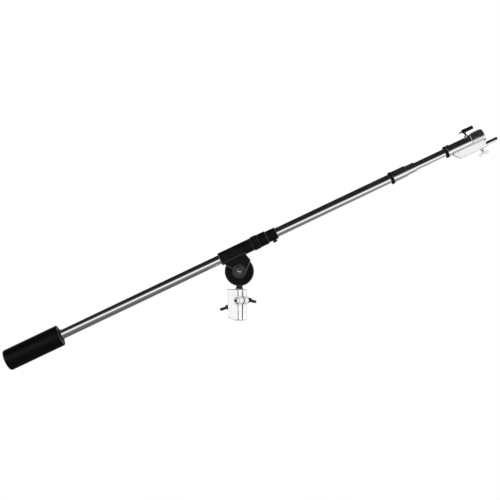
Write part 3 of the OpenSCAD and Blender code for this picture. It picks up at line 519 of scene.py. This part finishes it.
def grow(name, tree, values, material, frame_of_piece):
    """Object made by a geometry node tree, with flat faces kept flat, as one plain mesh."""
    seed = bpy.data.meshes.new(name + "_seed")
    rough = bpy.data.objects.new(name + "_seed", seed)
    scene.collection.objects.link(rough)
    steps = rough.modifiers.new("shape", "NODES")
    steps.node_group = tree
    for item in tree.interface.items_tree:
        if item.item_type == "SOCKET" and item.in_out == "INPUT" and item.name in values:
            steps[item.identifier] = values[item.name]
    flat = rough.modifiers.new("flat_faces", "WEIGHTED_NORMAL")
    flat.weight = FLAT_FACE_WEIGHT
    piece = plain_mesh(rough, name)
    bpy.data.objects.remove(rough)
    piece.data.transform(frame_of_piece)
    piece.data.materials.clear()
    piece.data.materials.append(material)
    scene.collection.objects.link(piece)
    return piece


# Ring along X: a rectangle with rounded corners, swept round the axis. Ribs cut into its outside
# are rounded grooves that fade out towards both ends.
ring_shape, given = shape_tree("ring_shape", (
    ("Outer", "NodeSocketFloat", 0.0175), ("Bore", "NodeSocketFloat", 0.016),
    ("Start", "NodeSocketFloat", 0.0), ("End", "NodeSocketFloat", 0.1),
    ("Edge", "NodeSocketFloat", 0.0005), ("Segments", "NodeSocketInt", 128),
    ("Cuts", "NodeSocketInt", 0), ("Ribs", "NodeSocketInt", 0),
    ("Rib depth", "NodeSocketFloat", 0.0), ("Rib margin", "NodeSocketFloat", 0.003)))
wall = maths(ring_shape, "SUBTRACT", given["Outer"], given["Bore"])
length = maths(ring_shape, "SUBTRACT", given["End"], given["Start"])
outline = add_node(ring_shape, "GeometryNodeCurvePrimitiveQuadrilateral",
                   {"Width": wall, "Height": length})
denser = add_node(ring_shape, "GeometryNodeSubdivideCurve", {"Curve": outline.outputs[0],
                                                             "Cuts": given["Cuts"]})
corner = add_node(ring_shape, "GeometryNodeInputIndex").outputs[0]
steps = add_node(ring_shape, "FunctionNodeIntegerMath", {0: given["Cuts"], 1: 1}, operation="ADD")
rest = add_node(ring_shape, "FunctionNodeIntegerMath", {0: corner, 1: steps.outputs[0]},
                operation="MODULO")
is_corner = add_node(ring_shape, "FunctionNodeCompare", {2: rest.outputs[0], 3: 0},
                     data_type="INT", operation="EQUAL")
edge = add_node(ring_shape, "ShaderNodeMath", {0: given["Edge"], 1: is_corner.outputs[0]},
                operation="MULTIPLY")
soft = add_node(ring_shape, "GeometryNodeFilletCurve", {"Curve": denser.outputs[0],
                                                        "Radius": edge.outputs[0], "Count": 4},
                mode="POLY")
middle = maths(ring_shape, "ADD", given["Bore"], maths(ring_shape, "MULTIPLY", wall, 0.5))
circle = add_node(ring_shape, "GeometryNodeCurvePrimitiveCircle",
                  {"Resolution": given["Segments"], "Radius": middle})
swept = add_node(ring_shape, "GeometryNodeCurveToMesh", {"Curve": circle.outputs[0],
                                                         "Profile Curve": soft.outputs[0]})
where = add_node(ring_shape, "GeometryNodeInputPosition").outputs[0]
split = add_node(ring_shape, "ShaderNodeSeparateXYZ", {0: where}).outputs
half = maths(ring_shape, "MULTIPLY", length, 0.5)
along = maths(ring_shape, "ADD", maths(ring_shape, "ADD", split["Z"], half), given["Start"])
angle = maths(ring_shape, "ARCTAN2", split["Y"], split["X"])
wave = maths(ring_shape, "COSINE", maths(ring_shape, "MULTIPLY", angle, given["Ribs"]))
groove = add_node(ring_shape, "ShaderNodeMapRange", {"Value": wave, "From Min": 0.1,
                                                     "From Max": 1.0},
                  interpolation_type="SMOOTHSTEP").outputs[0]
to_end = maths(ring_shape, "SUBTRACT", half, maths(ring_shape, "ABSOLUTE", split["Z"]))
fade = add_node(ring_shape, "ShaderNodeMapRange",
                {"Value": to_end, "From Min": maths(ring_shape, "MULTIPLY",
                                                    given["Rib margin"], 0.5),
                 "From Max": given["Rib margin"]}, interpolation_type="SMOOTHSTEP").outputs[0]
radius = maths(ring_shape, "SQRT", maths(
    ring_shape, "ADD", maths(ring_shape, "MULTIPLY", split["X"], split["X"]),
    maths(ring_shape, "MULTIPLY", split["Y"], split["Y"])))
outside = maths(ring_shape, "GREATER_THAN", radius, middle)
depth = maths(ring_shape, "MULTIPLY", maths(ring_shape, "MULTIPLY", groove, fade),
              maths(ring_shape, "MULTIPLY", given["Rib depth"], outside))
scale = maths(ring_shape, "DIVIDE", maths(ring_shape, "SUBTRACT", radius, depth), radius)
turned_to_x = add_node(ring_shape, "ShaderNodeCombineXYZ",
                       {"X": along, "Y": maths(ring_shape, "MULTIPLY", split["X"], scale),
                        "Z": maths(ring_shape, "MULTIPLY", split["Y"], scale)})
placed = add_node(ring_shape, "GeometryNodeSetPosition", {"Geometry": swept.outputs[0],
                                                          "Position": turned_to_x.outputs[0]})
add_node(ring_shape, "NodeGroupOutput", {"Geometry": placed.outputs[0]})

# Thread along X: a plain core with a spiral ridge of tapered section that stops one pitch short of
# both ends. The shares are those of a coarse metric thread, a little blunted.
THREAD_SIDES = 36
FOOT_SHARE = 0.85
CREST_SHARE = 0.14
thread_shape, given = shape_tree("thread_shape", (
    ("Radius", "NodeSocketFloat", 0.005), ("Pitch", "NodeSocketFloat", 0.0015),
    ("Start", "NodeSocketFloat", 0.0), ("End", "NodeSocketFloat", 0.05),
    ("Depth", "NodeSocketFloat", 0.0008)))
length = maths(thread_shape, "SUBTRACT", given["End"], given["Start"])
root = maths(thread_shape, "SUBTRACT", given["Radius"], given["Depth"])
ridge_l = maths(thread_shape, "SUBTRACT", length, maths(thread_shape, "MULTIPLY",
                                                        given["Pitch"], 2.0))
spiral = add_node(thread_shape, "GeometryNodeCurveSpiral",
                  {"Resolution": THREAD_SIDES,
                   "Rotations": maths(thread_shape, "DIVIDE", ridge_l, given["Pitch"]),
                   "Start Radius": root, "End Radius": root, "Height": ridge_l})
flank = maths(thread_shape, "MULTIPLY", given["Depth"], 2.0)
slim = add_node(thread_shape, "GeometryNodeCurvePrimitiveQuadrilateral",
                {"Bottom Width": maths(thread_shape, "MULTIPLY", given["Pitch"], FOOT_SHARE),
                 "Top Width": maths(thread_shape, "MULTIPLY", given["Pitch"], CREST_SHARE),
                 "Offset": 0.0, "Height": flank}, mode="TRAPEZOID")
upright = add_node(thread_shape, "GeometryNodeSetCurveNormal", {"Curve": spiral.outputs[0]},
                   mode="Z_UP")
turned_profile = add_node(thread_shape, "GeometryNodeTransform",
                          {"Geometry": slim.outputs[0], "Rotation": (0, 0, math.radians(90))})
ridge = add_node(thread_shape, "GeometryNodeCurveToMesh",
                 {"Curve": upright.outputs[0], "Profile Curve": turned_profile.outputs[0],
                  "Fill Caps": True})
lifted = add_node(thread_shape, "GeometryNodeTransform",
                  {"Geometry": ridge.outputs[0],
                   "Translation": add_node(thread_shape, "ShaderNodeCombineXYZ",
                                           {"Z": given["Pitch"]}).outputs[0]})
core = add_node(thread_shape, "GeometryNodeMeshCylinder", {"Vertices": THREAD_SIDES,
                                                           "Radius": root, "Depth": length})
raised = add_node(thread_shape, "GeometryNodeTransform",
                  {"Geometry": core.outputs[0],
                   "Translation": add_node(thread_shape, "ShaderNodeCombineXYZ",
                                           {"Z": maths(thread_shape, "MULTIPLY", length,
                                                       0.5)}).outputs[0]})
both = thread_shape.nodes.new("GeometryNodeJoinGeometry")
thread_shape.links.new(lifted.outputs[0], both.inputs[0])
thread_shape.links.new(raised.outputs[0], both.inputs[0])
where = add_node(thread_shape, "GeometryNodeInputPosition").outputs[0]
split = add_node(thread_shape, "ShaderNodeSeparateXYZ", {0: where}).outputs
on_x = add_node(thread_shape, "ShaderNodeCombineXYZ",
                {"X": maths(thread_shape, "ADD", split["Z"], given["Start"]),
                 "Y": split["X"], "Z": split["Y"]})
placed = add_node(thread_shape, "GeometryNodeSetPosition", {"Geometry": both.outputs[0],
                                                            "Position": on_x.outputs[0]})
add_node(thread_shape, "NodeGroupOutput", {"Geometry": placed.outputs[0]})

# Hexagon nut along X: a six-sided prism cut by a rounded ring, which leaves the usual curved
# chamfers and the bore. The ring is a hair longer, so that the two ends never coincide.
CHAMFER = 0.14
PRISM_SHARE = 0.998
nut_shape, given = shape_tree("nut_shape", (
    ("Across flats", "NodeSocketFloat", 0.023), ("Bore", "NodeSocketFloat", 0.005),
    ("Start", "NodeSocketFloat", 0.0), ("End", "NodeSocketFloat", 0.008)))
length = maths(nut_shape, "SUBTRACT", given["End"], given["Start"])
corner_r = maths(nut_shape, "DIVIDE", given["Across flats"], 2 * math.cos(math.radians(30)))
prism = add_node(nut_shape, "GeometryNodeMeshCylinder",
                 {"Vertices": 6, "Radius": corner_r,
                  "Depth": maths(nut_shape, "MULTIPLY", length, PRISM_SHARE)})
to_x = add_node(nut_shape, "GeometryNodeTransform",
                {"Geometry": prism.outputs[0], "Rotation": (0, math.radians(90), 0),
                 "Translation": add_node(nut_shape, "ShaderNodeCombineXYZ", {
                     "X": maths(nut_shape, "MULTIPLY", 0.5, maths(
                         nut_shape, "ADD", given["Start"], given["End"]))}).outputs[0]})
blank = add_node(nut_shape, "GeometryNodeGroup",
                 {"Outer": corner_r, "Bore": given["Bore"], "Start": given["Start"],
                  "End": given["End"], "Edge": maths(nut_shape, "MULTIPLY", corner_r, CHAMFER)},
                 node_tree=ring_shape)
cut = add_node(nut_shape, "GeometryNodeMeshBoolean", operation="INTERSECT", solver="EXACT")
nut_shape.links.new(to_x.outputs[0], cut.inputs["Mesh 2"])
nut_shape.links.new(blank.outputs[0], cut.inputs["Mesh 2"])
add_node(nut_shape, "NodeGroupOutput", {"Geometry": cut.outputs[0]})


def ring(name, frame_of_piece, material, outer, bore, start, end, edge=0.5, **ribs):
    """Turned ring from sizes in millimetres."""
    values = {"Outer": outer / 1000, "Bore": bore / 1000, "Start": start / 1000,
              "End": end / 1000, "Edge": edge / 1000}
    values.update({key.replace("_", " ").capitalize(): value for key, value in ribs.items()})
    return grow(name, ring_shape, values, material, frame_of_piece)


def screw(name, frame_of_piece, material, radius, pitch, start, end):
    """Threaded rod from sizes in millimetres."""
    return grow(name, thread_shape, {"Radius": radius / 1000, "Pitch": pitch / 1000,
                                     "Start": start / 1000, "End": end / 1000,
                                     "Depth": pitch / 2 / 1000}, material, frame_of_piece)


NUT_CREASE = math.radians(30)


def nut(name, frame_of_piece, material, flats, bore, start, end):
    """Chamfered hexagon nut from sizes in millimetres."""
    piece = grow(name, nut_shape, {"Across flats": flats / 1000, "Bore": bore / 1000,
                                   "Start": start / 1000, "End": end / 1000},
                 material, frame_of_piece)
    piece.data.set_sharp_from_angle(angle=NUT_CREASE)
    return piece


# Turns that point a shape's X axis another way in the frame of its piece.
ACROSS = Matrix.Rotation(math.radians(90), 4, "Z")
BACKWARDS = Matrix.Rotation(math.radians(180), 4, "Z")
UPWARDS = Matrix.Rotation(math.radians(-90), 4, "Y")
DOWNWARDS = Matrix.Rotation(math.radians(90), 4, "Y")
CLAMP_PLACE = (0.018, 0, 0.074)
STAND_LOCK_PLACE = (0, 0, 0.046)
clamp_axis = block_frame @ Matrix.Translation(CLAMP_PLACE) @ ACROSS
stand_axis = block_frame @ Matrix.Translation(STAND_LOCK_PLACE) @ BACKWARDS
dress(nut("clamp_hex_nut", clamp_axis, bright_steel, flats=23, bore=5.05, start=-32, end=-24.05),
      "receiver", "bright_steel", "clamp_nut")
dress(screw("clamp_thread", clamp_axis, dark_steel, radius=5, pitch=1.5, start=-35, end=35),
      "clamp_screw", "dark_steel", "clamp_screw")
dress(ring("clamp_washer", clamp_axis, dark_steel, outer=11.5, bore=5.05, start=22.05, end=24.95),
      "clamp_screw", "dark_steel", "clamp_wing_washer")
dress(cast_copy("clamp_wing", "clamp_wing_casting", clamp_axis, voxel=0.0006, passes=3,
                material=black_cast),
      "clamp_wing", "black_cast", "clamp_wing")
dress(screw("stand_lock_thread", stand_axis, dark_steel, radius=5, pitch=1.5, start=17.65, end=70),
      "stand_lock_screw", "dark_steel", "stand_lock_screw")
dress(cast_copy("stand_lock_wing", "stand_wing_casting", stand_axis, voxel=0.0006, passes=3,
                material=black_cast),
      "stand_lock_wing", "black_cast", "stand_lock_wing")

# Stem and neck: the black lower casting turns in the block on a nylon washer, and a washer and
# socket screw keep it in from below. The pad in front of the stand lock is nylon too.
nylon, tree = new_tree("nylon")
place = object_place(tree)
cloud = place_group(tree, smears, {"Place": place, "Size": 60.0, "Clean": 0.42,
                                   "Smeared": 0.55})
colour = mix_colour(tree, cloud["Marks"], (0.74, 0.71, 0.63), (0.6, 0.57, 0.5))
finish_material(tree, {"Base Color": colour, "Roughness": cloud["Roughness"],
                       "Subsurface Weight": 0.15, "Subsurface Scale": 0.002})
dress(cast_copy("pivot_base", "pivot_casting", Matrix.Translation((0, 0, PIVOT_HEIGHT)),
                voxel=0.001, passes=3, material=black_cast),
      "swivel", "black_cast", "pivot_base")
paint(nylon, "foot_washer", "stand_lock_pad", "sleeve_liners", "sleeve_collet",
      "tube_stop_bush", "lock_collet", "inner_guide_bush")
paint(dark_steel, "keeper_screw")
dress(ring("keeper_ring", UPWARDS, bright_steel, outer=12.8, bore=4, start=58.95, end=61.95),
      "swivel", "bright_steel", "keeper_washer")

# Upper casting: the sleeve, the web and the upper friction disc in one black casting. It tilts
# on a stud, with a pressed lining between the discs and a chamfered nut in the hub.
friction_pad, tree = new_tree("friction_pad")
place = object_place(tree)
fibres = add_node(tree, "ShaderNodeTexVoronoi", {"Vector": place, "Scale": 1400.0})
wear_and_edge_light = place_group(tree, smears, {"Place": place, "Size": 50.0, "Clean": 0.7, "Smeared": 0.9})
colour = mix_colour(tree, fibres.outputs["Distance"], (0.2, 0.13, 0.08), (0.36, 0.27, 0.18))
finish_material(tree, {"Base Color": colour, "Roughness": wear_and_edge_light["Roughness"],
                       "Normal": bump(tree, fibres.outputs["Distance"], 0.3, 0.0001)})
dress(cast_copy("boom_sleeve", "sleeve_casting", pivot_frame, voxel=0.001, passes=3,
                material=black_cast),
      "boom_head", "black_cast", "boom_sleeve")
paint(friction_pad, "friction_lining")
stud_axis = pivot_frame @ ACROSS
dress(screw("stud_thread", stud_axis, bright_steel, radius=6, pitch=1.5, start=-31.1, end=55.5),
      "boom_head", "bright_steel", "pivot_stud")
dress(nut("stud_hex_nut", stud_axis, dark_steel, flats=19.2, bore=6.05, start=-28.1, end=-18.52),
      "boom_head", "dark_steel", "stud_nut")
dress(ring("stud_ring", stud_axis, dark_steel, outer=14.6, bore=6.05, start=-18.5, end=-16),
      "boom_head", "dark_steel", "stud_washer")

# Tilt handle: a black hub with a polished cross bar and two rounded plastic caps, on a cupped
# spring washer behind the lower disc.
black_plastic, tree = new_tree("black_plastic")
place = object_place(tree)
grain = place_group(tree, cast_skin, {"Place": place, "Grain": 2200.0, "Lumps": 500.0,
                                      "Lump share": 0.3})
rub = place_group(tree, smears, {"Place": place, "Size": 40.0, "Clean": 0.4, "Smeared": 0.6})
wear_and_edge_light = place_group(tree, worn_edges, {"Place": place, "Radius": 0.0006, "Amount": 0.2,
                                      "Break up": 150.0})
rubbed = mix_colour(tree, rub["Marks"], (0.003, 0.003, 0.0035), (0.007, 0.007, 0.007))
colour = mix_colour(tree, wear_and_edge_light["Mask"], rubbed, (0.09, 0.09, 0.09))
finish_material(tree, {"Base Color": colour, "Roughness": rub["Roughness"],
                       "Specular IOR Level": 0.13,
                       "Normal": bump(tree, grain["Height"], 0.15, 0.0002)})
BAR_PLACE = (0, 0.061035, 0)
bar_axis = pivot_frame @ Matrix.Translation(BAR_PLACE)
dress(ring("back_ring", stud_axis, bright_steel, outer=18, bore=6.05, start=33.435, end=36.435),
      "swivel", "bright_steel", "back_washer")
dress(cast_copy("tilt_handle_hub", "handle_hub_casting", pivot_frame, voxel=0.0006, passes=3,
                material=black_cast),
      "tilt_handle", "black_cast", "tilt_handle_hub")
dress(ring("handle_bar", bar_axis, bright_steel, outer=4.5, bore=0.02, start=-46, end=46),
      "tilt_handle", "bright_steel", "tilt_handle_bar")
paint(dark_steel, "disc_spring")
paint(black_plastic, "tilt_bar_knobs", "main_tube_plug")

# Sleeve lock: a ribbed plastic grip ring, a black lock nut over the split ring, and the nose
# with its small thumb screw.
dress(ring("grip_ring_ribbed", boom_frame, black_plastic, outer=26.5, bore=22.05, start=86.3,
           end=110.3, edge=1, segments=288, cuts=14, ribs=24, rib_depth=0.0011, rib_margin=0.0042),
      "lock_ring", "black_plastic", "grip_ring")
dress(ring("lock_nut_turned", boom_frame, black_cast, outer=25, bore=22.05, start=110.3,
           end=145.3, edge=1.2, cuts=28),
      "lock_ring", "black_cast", "lock_nut")
dress(ring("nose_turned", boom_frame, black_cast, outer=21.75, bore=17.55, start=145.6, end=184.6,
           edge=1.8, cuts=20),
      "boom_head", "black_cast", "nose")
THUMB_PLACE = (0.1676, 0, 0)
thumb_axis = boom_frame @ Matrix.Translation(THUMB_PLACE) @ DOWNWARDS
dress(screw("thumb_thread", thumb_axis, bright_steel, radius=3, pitch=1, start=17.8, end=27.75),
      "thumb_screw", "bright_steel", "thumb_screw")
dress(ring("thumb_knob_knurled", thumb_axis, black_plastic, outer=8, bore=3.05, start=22.05,
           end=30.05, edge=0.8, segments=200, cuts=8, ribs=10, rib_depth=0.0008,
           rib_margin=0.0016),
      "thumb_knob", "black_plastic", "thumb_knob")

# Main tube: drawn steel, polished and chromed, with a rounded lip at both ends. Its scratches
# run lengthwise, from sliding through the sleeve.
chrome_tube, tree = new_tree("chrome_tube")
place = object_place(tree, TILT)
scratch = place_group(tree, drawn_lines, {"Place": place, "Fineness": 1100.0,
                                          "Stretch": 0.012})
wear_and_edge_light = place_group(tree, smears, {"Place": place, "Size": 18.0, "Clean": 0.035,
                                  "Smeared": 0.1})
rough = maths(tree, "ADD", wear_and_edge_light["Roughness"], maths(tree, "MULTIPLY", scratch["Scratches"],
                                                    0.08))
colour = mix_colour(tree, scratch["Scratches"], (0.80, 0.80, 0.815), (0.7, 0.7, 0.71))
finish_material(tree, {"Base Color": colour, "Metallic": 1.0, "Roughness": rough,
                       "Normal": bump(tree, scratch["Height"], 0.05, 0.00003)})
dress(ring("main_tube_drawn", boom_frame, chrome_tube, outer=17.5, bore=16, start=-905, end=700),
      "boom", "chrome_tube", "main_tube")

# Telescope lock: a ribbed black grip ring, a chrome sleeve and its thinner tail, which turn on
# the end of the main tube and close a split ring on the inner tube.
dress(ring("telescope_grip_ribbed", boom_frame, black_plastic, outer=23, bore=17.55, start=647,
           end=658, edge=0.8, segments=288, cuts=8, ribs=24, rib_depth=0.0008, rib_margin=0.0026),
      "telescope_lock", "black_plastic", "telescope_grip")
dress(ring("lock_sleeve_turned", boom_frame, chrome_tube, outer=21.45, bore=17.55, start=658,
           end=712, edge=1),
      "telescope_lock", "chrome_tube", "lock_sleeve")
dress(ring("lock_tail_turned", boom_frame, chrome_tube, outer=18.45, bore=15.05, start=712,
           end=749, edge=0.8),
      "telescope_lock", "chrome_tube", "lock_tail")

# Inner tube: the same drawn and chromed finish, one size smaller.
dress(ring("inner_tube_drawn", boom_frame, chrome_tube, outer=15, bore=13.5, start=-507, end=938),
      "extension", "chrome_tube", "inner_tube")

# Counterweight: a steel slug in a smooth black coat with an orange peel skin, closed by satin
# plates and clamped by a black hub with three socket set screws.
black_coat, tree = new_tree("black_coat")
place = object_place(tree, TILT)
peel = add_node(tree, "ShaderNodeTexNoise", {"Vector": place, "Scale": 260.0, "Detail": 2.0})
scuff = place_group(tree, drawn_lines, {"Place": place, "Fineness": 300.0, "Stretch": 0.15})
wear_and_edge_light = place_group(tree, worn_edges, {"Place": place, "Radius": 0.0014, "Amount": 0.5,
                                      "Break up": 70.0})
shine = place_group(tree, smears, {"Place": place, "Size": 14.0, "Clean": 0.2,
                                   "Smeared": 0.36})
coat = mix_colour(tree, scuff["Scratches"], (0.0018, 0.0018, 0.002), (0.006, 0.006, 0.006))
colour = mix_colour(tree, wear_and_edge_light["Mask"], coat, (0.2, 0.2, 0.2))
finish_material(tree, {"Base Color": colour, "Roughness": shine["Roughness"],
                       "Specular IOR Level": 0.13,
                       "Normal": bump(tree, peel.outputs[0], 0.12, 0.0004)})
paint(raw_steel, "weight_core")
paint(black_coat, "weight_coat")
paint(zinc_plate, "weight_end_plates")
paint(dark_steel, "weight_set_screws")
dress(ring("weight_hub_turned", boom_frame, black_cast, outer=22, bore=17.55, start=-695,
           end=-689, edge=0.8, cuts=6),
      "counterweight", "black_cast", "weight_hub")

# Load end: a ring with a black front and a chrome collar, a chrome sleeve and the bored spigot
# socket, with the silver block and its pin below. A lever screw locks the socket and a small
# wing screw locks the pin.
dress(ring("end_ring_turned", boom_frame, black_plastic, outer=22, bore=15.05, start=870, end=880,
           edge=1.5),
      "extension", "black_plastic", "end_ring")
dress(ring("end_collar_turned", boom_frame, chrome_tube, outer=22, bore=15.05, start=880, end=893,
           edge=0.8),
      "extension", "chrome_tube", "end_ring")
paint(chrome_tube, "end_sleeve", "baby_pin")
paint(bright_steel, "end_socket", "end_rivets")
dress(cast_copy("pin_block", "pin_block_casting", boom_frame, voxel=0.0009, passes=2,
                material=cast_silver),
      "extension", "cast_silver", "pin_block")
SOCKET_LOCK_PLACE = (0.968, 0, 0)
PIN_LOCK_PLACE = (1.0, 0, 0)
socket_axis = boom_frame @ Matrix.Translation(SOCKET_LOCK_PLACE) @ UPWARDS
pin_axis = boom_frame @ Matrix.Translation(PIN_LOCK_PLACE) @ DOWNWARDS
dress(screw("socket_lock_thread", socket_axis, dark_steel, radius=4, pitch=1.25, start=14.6,
            end=42.5),
      "socket_lock_screw", "dark_steel", "socket_lock_screw")
dress(screw("pin_lock_thread", pin_axis, bright_steel, radius=4, pitch=1.25, start=43.1, end=60),
      "pin_lock_screw", "bright_steel", "pin_lock_screw")
dress(cast_copy("socket_lock_handle", "lever_casting", boom_frame, voxel=0.0006, passes=3,
                material=black_cast),
      "socket_lock_handle", "black_cast", "socket_lock_handle")
dress(cast_copy("pin_lock_wing", "pin_wing_casting", boom_frame, voxel=0.0005, passes=2,
                material=cast_silver),
      "pin_lock_wing", "cast_silver", "pin_lock_wing")
